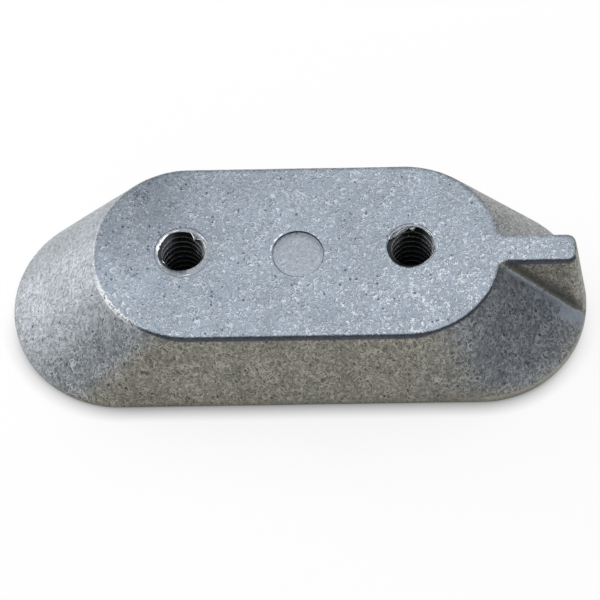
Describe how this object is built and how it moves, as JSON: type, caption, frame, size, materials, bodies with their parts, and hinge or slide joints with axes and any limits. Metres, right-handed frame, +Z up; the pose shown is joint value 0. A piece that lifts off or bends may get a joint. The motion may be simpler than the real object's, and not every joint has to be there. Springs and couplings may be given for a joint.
{
  "type": "sacrificial anode",
  "caption": "Bar-shaped sacrificial anode for a boat drive: sloping flanks, flat mounting face with blind tapped holes, fin on one end.",
  "frame": {"origin": "middle of the broad face, which the part lies on", "axes": "+X along the bar towards the end with the fin, +Y across it, +Z up, out of the mounting face and its tapped holes"},
  "size_m": [0.0736, 0.0278, 0.0155],
  "materials": {
    "cast_alloy": "as-cast, dull bluish grey with a fine crystalline grain and small pits"
  },
  "bodies": {
    "root": {"anode_casting": "cast_alloy"}
  },
  "joints": []
}
